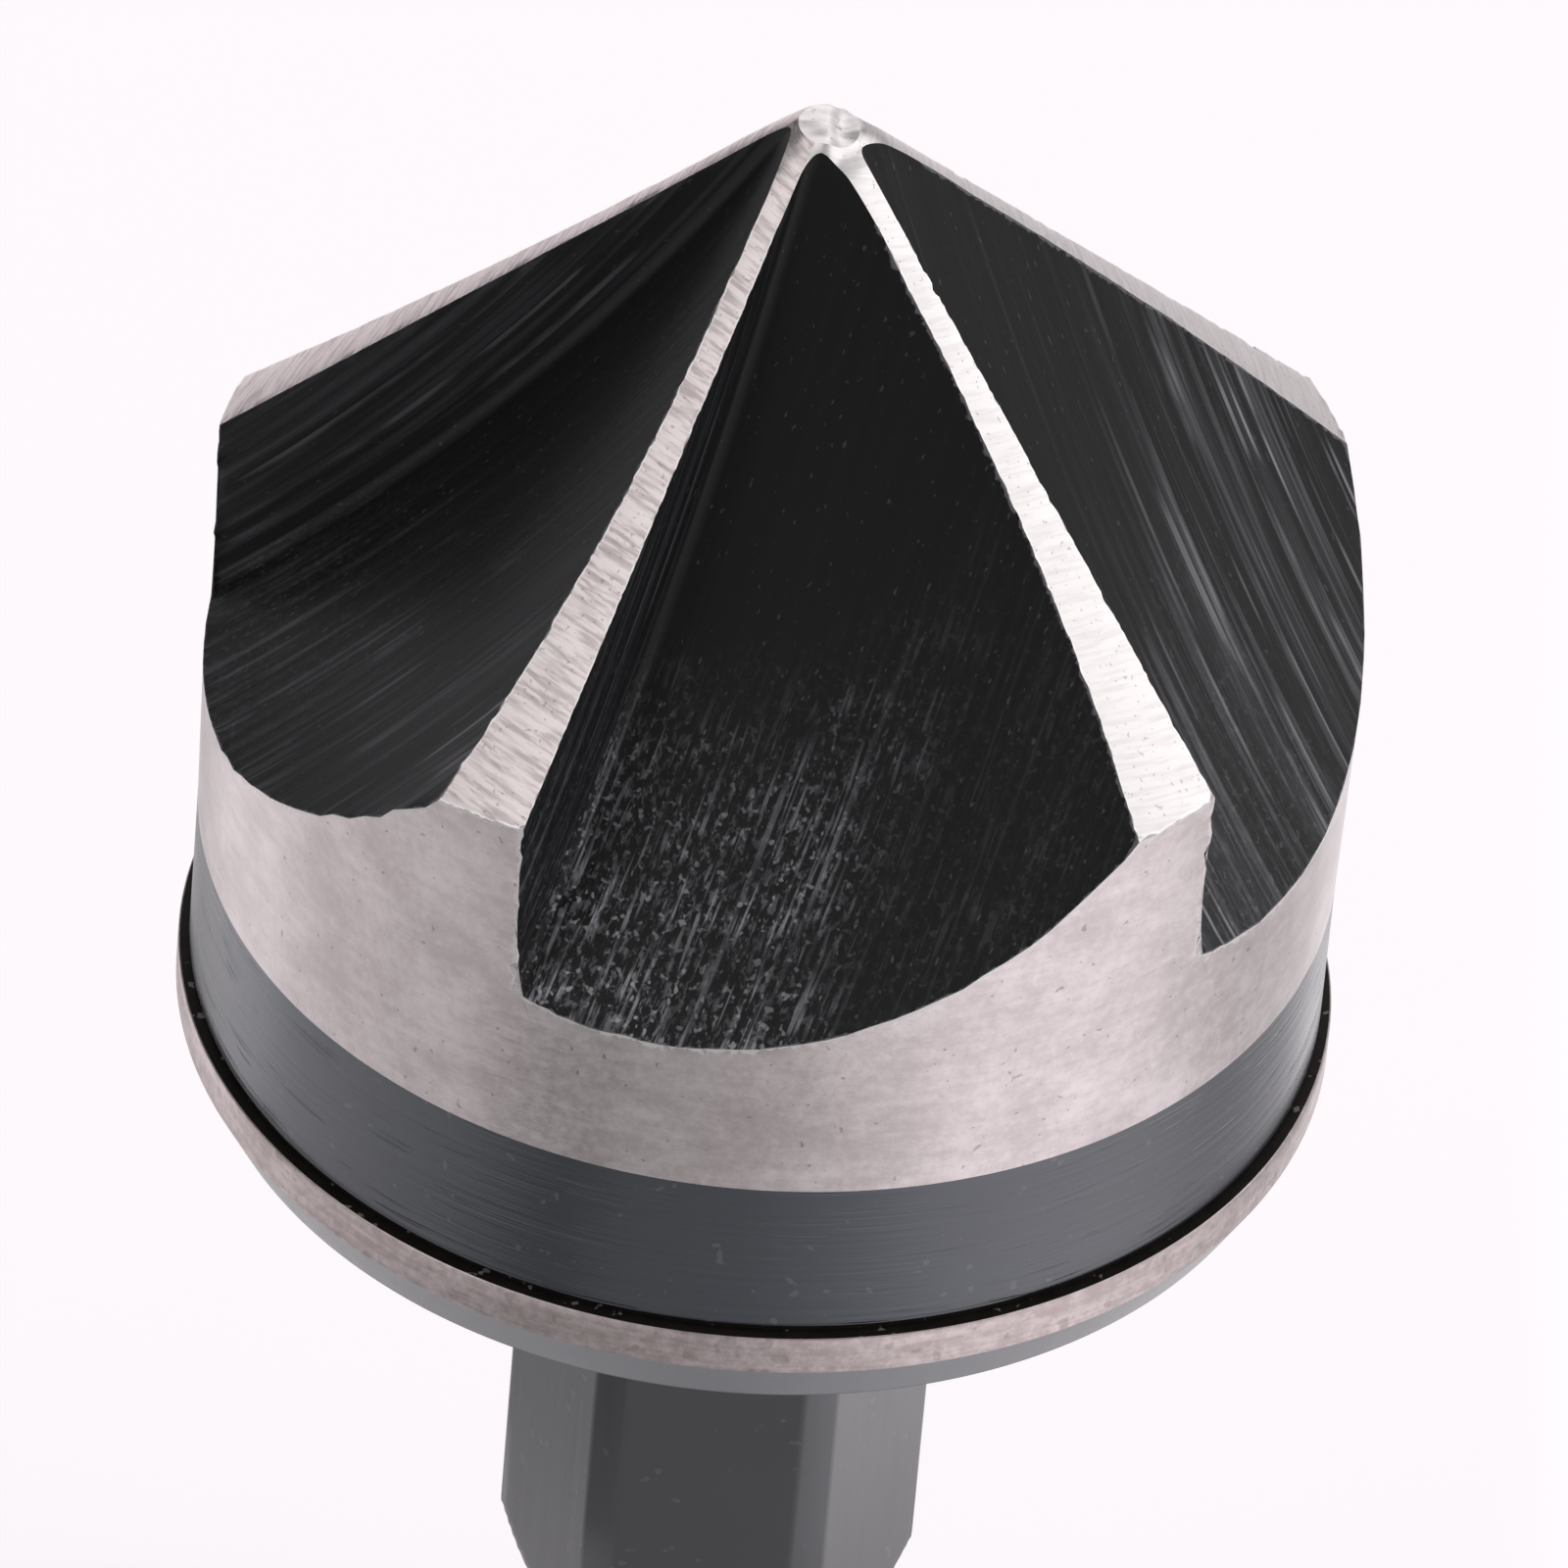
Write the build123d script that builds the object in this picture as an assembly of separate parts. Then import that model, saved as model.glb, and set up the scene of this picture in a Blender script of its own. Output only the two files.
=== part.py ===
from build123d import *
import os
from math import cos, hypot, radians, sin, sqrt, tan

# Five-flute countersink bit on a quick-change hexagon shank. One piece of tool steel:
# turned from bar, milled with a disc cutter, then ground on the lands and the head cylinder.
# Millimetres. The bit stands on its tail end at z = 0, tip up, the axis of rotation along +Z.
# Seen from the tip it turns anticlockwise when it cuts (right-hand cutting).

os.makedirs("parts", exist_ok=True)

# ---- shank: quarter-inch hexagon with a detent groove --------------------------------------
HEX_ACROSS_FLATS = 6.35
HEX_CORNER_DIA = 7.0          # the six corners are turned down to this
SHANK_LENGTH = 24.7           # tail end to the underside of the collar
TAIL_LENGTH = 9.0             # tail end to the lower edge of the detent groove
TAIL_CHAMFER = 0.6            # turned bevel round the tail end
TAIL_CHAMFER_DEG = 30.0       # bevel flank, measured from the axis
GROOVE_ROOT_DIA = 4.8
GROOVE_ROOT_LENGTH = 0.5      # flat bottom of the groove
GROOVE_FLANK_DEG = 25.0       # groove flanks, measured from the axis

# ---- head: collar, dark band, ground cylinder, cone ----------------------------------------
HEAD_DIA = 19.0
CONE_ANGLE = 97.0             # included angle of the cutting edges
TIP_DIA = 1.0                 # small flat left at the point
GROUND_LENGTH = 6.45          # ground cylinder below the cone
BACK_TAPER = 0.12             # the ground cylinder loses this much radius over its length
BAND_LENGTH = 3.0             # plain turned band, not ground
COLLAR_LEDGE = 0.18           # the collar stands this much proud of the band
COLLAR_RIM = 0.70             # height of the collar's straight rim
COLLAR_BEVEL_HEIGHT = 0.90
COLLAR_BEVEL_WIDTH = 0.48

# ---- flutes and lands ----------------------------------------------------------------------
FLUTE_COUNT = 5
FIRST_EDGE_DEG = -113.9       # where the first cutting edge points, anticlockwise from +X
CUTTER_RADIUS = 50.0          # milling cutter that leaves the hollow along each flute
FLUTE_START_RADIUS = 0.65     # the flute corner leaves the cone this far from the axis
FLUTE_DROP = 3.5              # and runs out of the head this far below the cone
FLOOR_TILT_DEG = 9.5          # floor falls away from the cutting face by this much
FLUTE_CORNER_RADIUS = 0.45    # corner between the cutting face and the floor
RELIEF_DEG = 3.0              # each land falls away behind its cutting edge

# ---- sizes that follow ---------------------------------------------------------------------
half_angle = radians(CONE_ANGLE / 2)
head_r = HEAD_DIA / 2
tip_r = TIP_DIA / 2
band_r = head_r - BACK_TAPER
collar_r = band_r + COLLAR_LEDGE
collar_foot_r = collar_r - COLLAR_BEVEL_WIDTH

z_bevel_top = SHANK_LENGTH + COLLAR_BEVEL_HEIGHT
z_ledge = z_bevel_top + COLLAR_RIM
z_band_top = z_ledge + BAND_LENGTH
z_cone = z_band_top + GROUND_LENGTH
z_apex = z_cone + head_r / tan(half_angle)
z_tip = z_apex - tip_r / tan(half_angle)
pitch_deg = 360 / FLUTE_COUNT


def turned(points):
    """Solid of revolution about +Z from (radius, height) points that start and end on the axis."""
    outline = Polyline(*[(r, 0, z) for r, z in points], close=True)
    return revolve(make_face(outline), Axis.Z)


def hexagon_shank():
    """Hexagon bar with turned corners, a bevelled tail and the detent groove."""
    corner_r = HEX_CORNER_DIA / 2
    tail_r = corner_r - TAIL_CHAMFER * tan(radians(TAIL_CHAMFER_DEG))
    root_r = GROOVE_ROOT_DIA / 2
    flank = (corner_r - root_r) / tan(radians(GROOVE_FLANK_DEG))
    z1 = TAIL_LENGTH
    z2 = z1 + flank
    z3 = z2 + GROOVE_ROOT_LENGTH
    z4 = z3 + flank
    z_top = SHANK_LENGTH + COLLAR_BEVEL_HEIGHT / 2      # runs up inside the collar
    core = turned([(0, 0), (tail_r, 0), (corner_r, TAIL_CHAMFER), (corner_r, z1), (root_r, z2),
                   (root_r, z3), (corner_r, z4), (corner_r, z_top), (0, z_top)])
    across_corners = HEX_ACROSS_FLATS / cos(radians(30))
    bar = extrude(RegularPolygon(across_corners / 2, 6), z_top)
    return core & bar


def head_blank():
    """The turned head: collar, band, ground cylinder and a plain top that the lands are cut into."""
    return turned([(0, SHANK_LENGTH), (collar_foot_r, SHANK_LENGTH), (collar_r, z_bevel_top),
                   (collar_r, z_ledge), (band_r, z_ledge), (band_r, z_band_top),
                   (head_r, z_cone), (head_r, z_tip), (0, z_tip)])


def relief_waste():
    """Waste outside one land's relieved cone, over the sector that ends at its cutting edge (+X).

    The cone is tipped about the cutting edge, so the edge stays on the true cone and the land
    behind it drops by RELIEF_DEG."""
    reach = 2 * head_r
    depth = z_apex - z_ledge
    cone = Pos(0, 0, z_apex - depth / 2) * Cone(depth * tan(half_angle), 0, depth)
    edge = Axis((0, 0, z_apex), (sin(half_angle), 0, -cos(half_angle)))
    cone = cone.rotate(edge, RELIEF_DEG)
    back = radians(-pitch_deg)
    half = back / 2
    corner = reach / cos(half)
    sector = Polyline((0, 0), (reach, 0), (corner * cos(half), corner * sin(half)),
                      (reach * cos(back), reach * sin(back)), close=True)
    z_low = (z_band_top + z_cone) / 2
    block = Pos(0, 0, z_low) * extrude(make_face(sector), z_tip + 1 - z_low)
    return block - cone


def flute_waste():
    """Waste of one flute, for a cutting edge along +X: the flat side of a disc cutter makes the
    radial cutting face, its rim the hollow floor, its rounded corner the fillet between them."""
    z_start = z_apex - FLUTE_START_RADIUS / tan(half_angle)
    z_end = z_cone - FLUTE_DROP
    run = head_r - FLUTE_START_RADIUS
    drop = z_start - z_end
    chord = hypot(run, drop)
    rise = sqrt(CUTTER_RADIUS ** 2 - (chord / 2) ** 2)
    cx = (FLUTE_START_RADIUS + head_r) / 2 + rise * drop / chord
    cz = (z_start + z_end) / 2 + rise * run / chord
    width = 1.3 * head_r
    rim = CUTTER_RADIUS + width * tan(radians(FLOOR_TILT_DEG))
    section = make_face(Polyline((0, 0), (CUTTER_RADIUS, 0), (rim, width), (0, width), close=True))
    nose = section.vertices().sort_by_distance((CUTTER_RADIUS, 0, 0))[0]
    section = fillet(nose, FLUTE_CORNER_RADIUS)
    disc = revolve(section, Axis.Y)
    return Pos(cx, 0, cz) * disc


blank = head_blank() + hexagon_shank()
relief = relief_waste()
flute = flute_waste()
waste = []
for i in range(FLUTE_COUNT):
    turn = Rot(0, 0, FIRST_EDGE_DEG + i * pitch_deg)
    waste += [turn * relief, turn * flute]
bit = blank - waste

solids = bit.solids()
print("solids", len(solids), "valid", bit.is_valid, "volume", round(bit.volume, 1))
print("length", round(z_tip, 2), "faces", len(bit.faces()))
export_step(solids[0], "parts/countersink_bit.step")
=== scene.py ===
# %% [markdown]
# # A countersink bit, from bar stock to studio
# The real thing is one piece of tool steel. It is turned to a collar and a cylinder on a hexagon
# shank, five flutes are milled into its cone with a big disc cutter, the whole bit is blackened,
# and then the lands, the cylinder and the collar's rim are ground bright.
#
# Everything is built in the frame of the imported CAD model, standing on its tail with the axis
# along +Z. Lengths are worked out in millimetres and become metres when the mesh is made.

import bpy
import numpy as np
from math import cos, hypot, pi, radians, sin, sqrt, tan
from mathutils import Matrix, Vector


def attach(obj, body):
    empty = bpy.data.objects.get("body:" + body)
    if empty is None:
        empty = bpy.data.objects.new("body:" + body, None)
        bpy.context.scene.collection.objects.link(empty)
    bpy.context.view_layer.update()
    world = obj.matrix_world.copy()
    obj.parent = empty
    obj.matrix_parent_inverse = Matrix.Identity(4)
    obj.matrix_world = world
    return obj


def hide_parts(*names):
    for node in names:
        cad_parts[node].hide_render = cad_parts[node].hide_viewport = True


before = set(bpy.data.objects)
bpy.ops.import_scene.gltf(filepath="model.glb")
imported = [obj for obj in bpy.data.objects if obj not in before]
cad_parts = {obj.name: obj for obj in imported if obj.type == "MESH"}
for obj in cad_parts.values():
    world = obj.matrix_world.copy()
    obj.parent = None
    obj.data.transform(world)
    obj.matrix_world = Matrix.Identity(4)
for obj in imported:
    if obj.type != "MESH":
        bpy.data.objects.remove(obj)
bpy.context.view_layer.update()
MM = 0.001

# %% [markdown]
# ## The sizes of the bit
# The turned sizes are those of the solid; the flute's surfaces lie up to a tenth or two of a
# millimetre away from the solid's, so that the lands are waisted as on the real bit. Heights are
# counted from the tail. The flute is given by the cutter that made it: radius, nose, how far the
# floor falls away from the cutting face, where its corner leaves the cone, and how deep it runs out.

# %% Sizes in millimetres
HEX_ACROSS_FLATS, HEX_CORNER_RADIUS = 6.35, 3.5
SHANK_LENGTH, TAIL_LENGTH, TAIL_CHAMFER = 24.7, 9.0, 0.6
TAIL_RADIUS = HEX_CORNER_RADIUS - TAIL_CHAMFER * tan(radians(30))
GROOVE_ROOT_RADIUS, GROOVE_ROOT_LENGTH = 2.4, 0.5
GROOVE_FLANK = (HEX_CORNER_RADIUS - GROOVE_ROOT_RADIUS) / tan(radians(25))
HEAD_RADIUS, HALF_ANGLE, TIP_RADIUS = 9.5, radians(97 / 2), 0.5
BAND_RADIUS, COLLAR_RADIUS, COLLAR_FOOT_RADIUS = 9.38, 9.56, 9.08
Z_RIM_LOW, Z_LEDGE, Z_BAND, Z_CONE = 25.6, 26.3, 29.3, 35.75
Z_APEX = Z_CONE + HEAD_RADIUS / tan(HALF_ANGLE)
Z_TIP = Z_APEX - TIP_RADIUS / tan(HALF_ANGLE)
FLUTES, PITCH_ANGLE, FIRST_EDGE = 5, radians(72), radians(-113.9)
CUTTER_RADIUS, CUTTER_NOSE, FLOOR_TILT = 40.26, 0.22, radians(9.271)
FLUTE_START_RADIUS, FLUTE_DROP = 0.6294, 3.433
RELIEF, RELIEF_BEGINS, RELIEF_FULL = radians(4.62), 1.2, 2.8
# A distance that stands for nowhere near, and a length that stands for none
FAR, TINY = 9.0, 1e-9
print("cone %.2f mm tall, tip at %.2f mm" % (Z_APEX - Z_CONE, Z_TIP))

# %% [markdown]
# ## The path of the milling cutter
# A flute is swept by a disc that turns about a level axis, high above and outside the bit. Its
# flat side leaves the radial cutting face, its rim the hollow floor, and its rounded nose the
# corner between them. A point of its profile lies v from the flat side and rho from the axis.

# %% The disc's centre, and its profile as a function of length along it
z_start = Z_APEX - FLUTE_START_RADIUS / tan(HALF_ANGLE)
z_end = Z_CONE - FLUTE_DROP
run, drop = HEAD_RADIUS - FLUTE_START_RADIUS, z_start - z_end
chord = hypot(run, drop)
rise = sqrt(CUTTER_RADIUS ** 2 - (chord / 2) ** 2)
CENTRE_U = (FLUTE_START_RADIUS + HEAD_RADIUS) / 2 + rise * drop / chord
CENTRE_Z = (z_start + z_end) / 2 + rise * run / chord
NOSE_SWEEP = pi / 2 - FLOOR_TILT
NOSE_START = CUTTER_RADIUS - CUTTER_NOSE * tan(NOSE_SWEEP / 2)
NOSE_LENGTH = CUTTER_NOSE * NOSE_SWEEP


def cutter_profile(q):
    """v and rho of the profile at length q: straight up the flat side for q < 0, round the nose
    as an arc of CUTTER_NOSE, then along the tilted rim."""
    a = np.clip(q, 0, NOSE_LENGTH) / CUTTER_NOSE
    past = np.maximum(q - NOSE_LENGTH, 0)
    v = CUTTER_NOSE * (1 - np.cos(a)) + past * cos(FLOOR_TILT)
    rho = NOSE_START + np.minimum(q, 0) + CUTTER_NOSE * np.sin(a) + past * sin(FLOOR_TILT)
    return v, rho


def on_cut(r, q):
    """Angle and height of the cut surface at radius r from the bit's axis and profile length q:
    u is what is left of r beside v, and the height is the disc's lower arc above u."""
    v, rho = cutter_profile(q)
    u = np.sqrt(np.maximum(r * r - v * v, 0))
    return np.arctan2(v, u), CENTRE_Z - np.sqrt(rho ** 2 - (u - CENTRE_U) ** 2)


print("cutter centre %.2f mm out, %.2f mm up" % (CENTRE_U, CENTRE_Z))

# %% [markdown]
# ## The relieved lands
# Behind each cutting edge the land falls away by more than four degrees, or it would rub. The
# grinder tips the cone about the edge itself, so the edge stays and the heel drops. The height
# follows from the angle to the tipped axis, and near the point the relief fades to nothing.

# %% Height of a land at a radius and an angle behind its edge
edge_direction = np.array([sin(HALF_ANGLE), 0, -cos(HALF_ANGLE)])
axis_down = np.array([0, 0, -1.0])
tipped_axis = (axis_down * cos(RELIEF) + np.cross(edge_direction, axis_down) * sin(RELIEF)
               + edge_direction * np.dot(edge_direction, axis_down) * (1 - cos(RELIEF)))


def hill(value, low, high):
    """Smooth step from 0 at low to 1 at high: three t squared less two t cubed."""
    t = np.clip((value - low) / (high - low), 0, 1)
    return t * t * (3 - 2 * t)


def on_edge(r):
    """Height of the true cone at radius r, where the cutting edges lie."""
    return Z_APEX - r / tan(HALF_ANGLE)


def on_land(r, phi):
    """Height of the relieved cone at radius r and angle phi from the edge that starts the flute:
    a sine and a cosine of the slope angle add up to the cosine of the half angle, which one
    arccosine solves. The land's own edge is one pitch further on."""
    behind = phi - PITCH_ANGLE
    a = np.cos(behind) * tipped_axis[0] + np.sin(behind) * tipped_axis[1]
    b = -tipped_axis[2]
    slope = np.arctan2(a, b) + np.arccos(cos(HALF_ANGLE) / np.hypot(a, b))
    fade = hill(r, RELIEF_BEGINS, RELIEF_FULL)
    return on_edge(r) + fade * (Z_APEX - r / np.tan(slope) - on_edge(r))


# %% Where the floor meets the land: the heel, and the flute's upper end near the point
TABLE_ROWS, TABLE_PAST = 3000, 0.05
JUST_BEFORE_PITCH, LEAST_FLOOR = radians(71.5), 0.01


def gap(r, q):
    """How far the cut lies above the land at radius r and profile length q."""
    phi, z = on_cut(r, q)
    return z - on_land(r, phi)


def root(r, inside, outside, halvings=50):
    """Bisection over whole arrays between a q where the gap is negative and one where it isn't."""
    for _ in range(halvings):
        middle = (inside + outside) / 2
        below = gap(r, middle) < 0
        inside, outside = np.where(below, middle, inside), np.where(below, outside, middle)
    return inside


def deepest(r, samples=400, longest=1.02, widest=0.95):
    """The profile length at which the cut lies deepest under the land, and the gap there.
    Lengths run up to longest times r, and count while v is less than widest times r."""
    q = np.linspace(0, 1, samples)[:, None] * (longest * r)[None, :]
    g = np.where(cutter_profile(q)[0] < widest * r, gap(r[None, :], q), FAR)
    return np.take_along_axis(q, g.argmin(0)[None, :], 0)[0], g.min(0)


r_table = np.linspace(TIP_RADIUS, HEAD_RADIUS + TABLE_PAST, TABLE_ROWS)
q_deep, g_deep = deepest(r_table)
APEX_RADIUS = float(r_table[np.argmax(g_deep < 0)])
cut_r = r_table[r_table >= APEX_RADIUS]
cut_deep = q_deep[r_table >= APEX_RADIUS]
nose_v = cutter_profile(np.array(NOSE_LENGTH))[0]
q_past_heel = NOSE_LENGTH + (cut_r * sin(JUST_BEFORE_PITCH) - nose_v) / cos(FLOOR_TILT)
cut_heel = root(cut_r, cut_deep, np.maximum(q_past_heel, cut_deep + LEAST_FLOOR))
cut_top = np.where(gap(cut_r, 0 * cut_r) > 0, root(cut_r, cut_deep, 0 * cut_r), 0)
FACE_RADIUS = float(cut_r[np.argmax(cut_top == 0)])
APEX_PHI = float(on_cut(APEX_RADIUS, cut_deep[0])[0])
cut_heel[0] = cut_top[0] = cut_deep[0]


def q_heel(r):
    """Profile length of the heel at radius r, read from the table."""
    return np.interp(r, cut_r, cut_heel)


def q_top(r):
    """Profile length at which the flute begins at radius r: nought below a cutting face."""
    return np.interp(r, cut_r, cut_top)


print("flute opens at r %.3f, face begins at r %.3f" % (APEX_RADIUS, FACE_RADIUS))

# %% [markdown]
# ## One skin from many patches
# The skin is laid out as grids: for each of the five sectors a cutting face, a flute, a land and
# the small web near the point; then the ground cylinder, and the turned skin from the band down to
# the tail. Neighbouring grids share the samples along their common edge, so they can be welded
# into one closed surface. Each grid carries a map of its tool marks, in millimetres, and the
# distance to the nearest sharp edge.

# %% Samples shared by the patches
FACE_ROWS, NOSE_ROWS, FLOOR_ROWS, LAND_ROWS, WEB_ROWS = 18, 6, 34, 10, 6
WEB_STEPS, NOTCH_STEPS, EDGE_STEPS = 5, 18, 136
NOSE_SHARE, PULL_FROM = 0.7, 3.0
radii = np.unique(np.concatenate([np.linspace(TIP_RADIUS, APEX_RADIUS, WEB_STEPS),
                                  np.linspace(APEX_RADIUS, FACE_RADIUS, NOTCH_STEPS),
                                  np.linspace(FACE_RADIUS, HEAD_RADIUS, EDGE_STEPS)]))
first_flute = int(np.searchsorted(radii, APEX_RADIUS - TINY))
first_face = int(np.searchsorted(radii, FACE_RADIUS - TINY))


def crowded(n, pull=0.5):
    """n + 1 samples from 0 to 1, crowded at both ends: a count mixed with half a cosine wave."""
    t = np.linspace(0, 1, n + 1)
    return (1 - pull) * t + pull * (1 - np.cos(pi * t)) / 2


def ground_radius(z):
    """Radius of the ground cylinder at height z, which narrows a little away from the cone."""
    below = np.clip((Z_CONE - z) / (Z_CONE - Z_BAND), 0, 1)
    return HEAD_RADIUS - (HEAD_RADIUS - BAND_RADIUS) * below


def flute_q(r, row):
    """Profile length of a flute row: the first rows go round the nose, or over NOSE_SHARE of a
    flute too narrow for it, and the others cross the floor to the heel."""
    top, heel = q_top(r), q_heel(r)
    turn = np.minimum(NOSE_LENGTH, top + NOSE_SHARE * (heel - top))
    nose = np.clip(row / NOSE_ROWS, 0, 1)
    across = crowded(FLOOR_ROWS)[np.clip(row - NOSE_ROWS, 0, FLOOR_ROWS).astype(int)]
    return top + nose * (turn - top) + across * (heel - turn)


def outer_radius(height, rounds=8):
    """Radius where a column of samples leaves the head: radius and height there depend on each
    other, so they are worked out in turn until they agree."""
    r = height(np.array(HEAD_RADIUS)) * 0 + HEAD_RADIUS
    for _ in range(rounds):
        r = ground_radius(height(r))
    return r


def spread(rows, r_out):
    """Radii of a patch: the shared radii, pulled in towards each column's own outer radius by the
    square of the way from PULL_FROM to the outside."""
    ease = np.clip((rows - PULL_FROM) / (HEAD_RADIUS - PULL_FROM), 0, 1) ** 2
    return rows[:, None] + ease[:, None] * (r_out - HEAD_RADIUS)[None, :]


print("%d radii, first flute %d, first face %d" % (len(radii), first_flute, first_face))

# %% The four grids of a sector, before burrs: angle, radius, height
down = crowded(FACE_ROWS, 0.4)
across_land = crowded(LAND_ROWS, 0.4)
flute_rows = np.arange(NOSE_ROWS + FLOOR_ROWS + 1)


def face_low(r):
    """Height where the cutting face ends: at the cutter's nose, or on the web near the point."""
    return np.where(r >= FACE_RADIUS - TINY, on_cut(r, 0 * r)[1], on_land(r, 0 * r))


def face_height(r, w):
    """Height on the cutting face, a share w of the way down from the edge."""
    return on_edge(r) + w * (face_low(r) - on_edge(r))


def cut_phi(r, q):
    """Angle of the cut, which closes to one angle at the flute's upper end."""
    return np.where(r > APEX_RADIUS, on_cut(r, q)[0], APEX_PHI)


def land_phi(r, w):
    """Angle on the land, a share w of the way from the heel to the next edge."""
    heel = cut_phi(r, q_heel(r))
    return heel + w * (PITCH_ANGLE - heel)


out_face = outer_radius(lambda r: face_height(r, down))
out_flute = outer_radius(lambda r: on_cut(r, flute_q(r, flute_rows))[1])
out_land = outer_radius(lambda r: on_land(r, land_phi(r, across_land)))
out_land[0] = out_flute[-1]

face_r = spread(radii, out_face)
face_z, face_phi = face_height(face_r, down), 0 * face_r
flute_r = spread(radii[first_flute:], out_flute)
flute_len = flute_q(flute_r, flute_rows)
flute_phi, flute_z = on_cut(flute_r, flute_len)
land_r = spread(radii, out_land)
land_angle = land_phi(land_r, across_land)
land_z = on_land(land_r, land_angle)
web_rows = radii[:first_face + 1, None]
web_angle = np.linspace(0, 1, WEB_ROWS + 1) * cut_phi(web_rows, q_top(web_rows))
web_r = web_rows + 0 * web_angle
web_z = on_land(web_r, web_angle)
# Neighbours share the very same values along their common edges
web_end = first_face - first_flute
flute_phi[0], flute_z[0] = APEX_PHI, land_z[first_flute, 0]
land_angle[first_flute:, 0], land_z[first_flute:, 0] = flute_phi[:, -1], flute_z[:, -1]
web_angle[first_flute:, -1] = flute_phi[:web_end + 1, 0]
web_z[first_flute:, -1] = flute_z[:web_end + 1, 0]
web_angle[-1], web_z[-1] = 0.0, flute_z[web_end, 0]
flute_phi[web_end, 0] = 0.0


def outline(*grids):
    """The outermost row of the face, the flute and the land in one line, without repeats."""
    return np.concatenate([grid[-1, :-1] for grid in grids])


outline_phi = outline(face_phi, flute_phi, land_angle)
outline_z = outline(face_z, flute_z, land_z)
outline_r = outline(face_r, flute_r, land_r)
COLUMNS = len(outline_phi)
sideways = HEAD_RADIUS * np.diff(outline_phi, append=PITCH_ANGLE)
steps = np.hypot(sideways, np.diff(outline_z, append=Z_CONE))
outline_along = np.concatenate([[0], np.cumsum(steps)])
outline_slope = np.arctan2(np.diff(outline_z, append=outline_z[0]), sideways)
outline_slope = np.append(outline_slope, outline_slope[0])
print("outline of a sector: %d samples, lowest %.2f mm under the cone"
      % (COLUMNS, Z_CONE - outline_z.min()))

# %% [markdown]
# ## Burrs and chips
# A ground edge is never a clean line: the wheel leaves a torn feather of steel on the far side, and
# grains break out of the cutting edge. The edges are moved by lines of random values, and the skin
# beside them follows with a bell curve that dies out within two tenths of a millimetre. Both
# patches beside an edge move their shared samples alike, so the weld stays tight.

# %% Random lines along the edges
dice = np.random.default_rng(19)
# Length and step in millimetres, and how strongly each line keeps to a few spikes
BURR_LINES = {"chip": (13, 0.07, 1.5), "nick": (13, 0.35, 2.0), "feather": (13, 0.09, 1.3),
              "wave": (13, 0.5, 1.0), "rag": (30, 0.06, 1.5), "lump": (30, 0.45, 1.6)}
CHIP_DEPTH, FEATHER_WIDTH, BURR_REACH = 0.012, 0.016, 0.07
RAG_LEVEL, RAG_STEEP, RAG_CALM = 0.014, 0.016, 0.3
CALM_INSIDE, LIVELY_FROM, CORNER_CALM, CORNER_EASE = 1.2, 2.2, 0.05, 0.15


def random_line(length, step, sharp):
    """A function of distance: random values every step, joined by straight pieces. A power above
    1 leaves most of it calm with a few strong spikes."""
    knots = np.arange(-1, length + 2 * step, step)
    raw = dice.standard_normal(len(knots))
    values = np.sign(raw) * np.abs(raw) ** sharp
    return lambda s: np.interp(s, knots, values)


def bell(distance):
    """Share of an edge's move that reaches a point at this distance: one over e at BURR_REACH."""
    return np.exp(-(distance / BURR_REACH) ** 2)


def edge_ramp(r):
    """Calms the burrs near the point, where the patches are narrow, and at the outer corner."""
    inside = np.clip((r - CALM_INSIDE) / (LIVELY_FROM - CALM_INSIDE), 0, 1)
    return inside * np.clip((HEAD_RADIUS - CORNER_CALM - r) / CORNER_EASE, 0, 1)


def burr_move(lines, r, d_cut, d_heel, d_rim, along):
    """Move of each sample outwards, sideways and up. The cutting edge loses grains downwards and
    backwards, the heel wanders sideways, the outline bulges out and moves square to its slope."""
    grains = np.abs(0.6 * lines["chip"](r) + 0.5 * lines["nick"](r))
    cut = grains * CHIP_DEPTH * edge_ramp(r) * bell(d_cut)
    torn = 0.5 * lines["feather"](r) + 0.5 * lines["wave"](r)
    heel = torn * FEATHER_WIDTH * edge_ramp(r) * bell(d_heel)
    calm = np.clip(np.minimum(along, outline_along[-1] - along) / RAG_CALM, 0, 1)
    lean = np.interp(along, outline_along, outline_slope)
    size = RAG_LEVEL + RAG_STEEP * np.abs(np.sin(lean))
    rag = (lines["rag"](along) + 0.5 * lines["lump"](along)) * calm * bell(d_rim) * size
    return 0.3 * np.abs(rag), heel - cut - np.sin(lean) * rag, -cut + np.cos(lean) * rag


# %% [markdown]
# ## Welding
# Points that fall on the same ten-thousandth of a millimetre become one, and a face that lost a
# corner at a pole becomes a triangle.

# %% A store for patches, and the weld
WELD_MM = 1e-4
WEAR_AND_SHEEN = ("edge_mm", "chatter", "drag")
store = {label: [] for label in ("points", "faces", "marks", "slot") + WEAR_AND_SHEEN}


def stored():
    """Number of samples in the store."""
    return sum(len(points) for points in store["points"])


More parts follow.
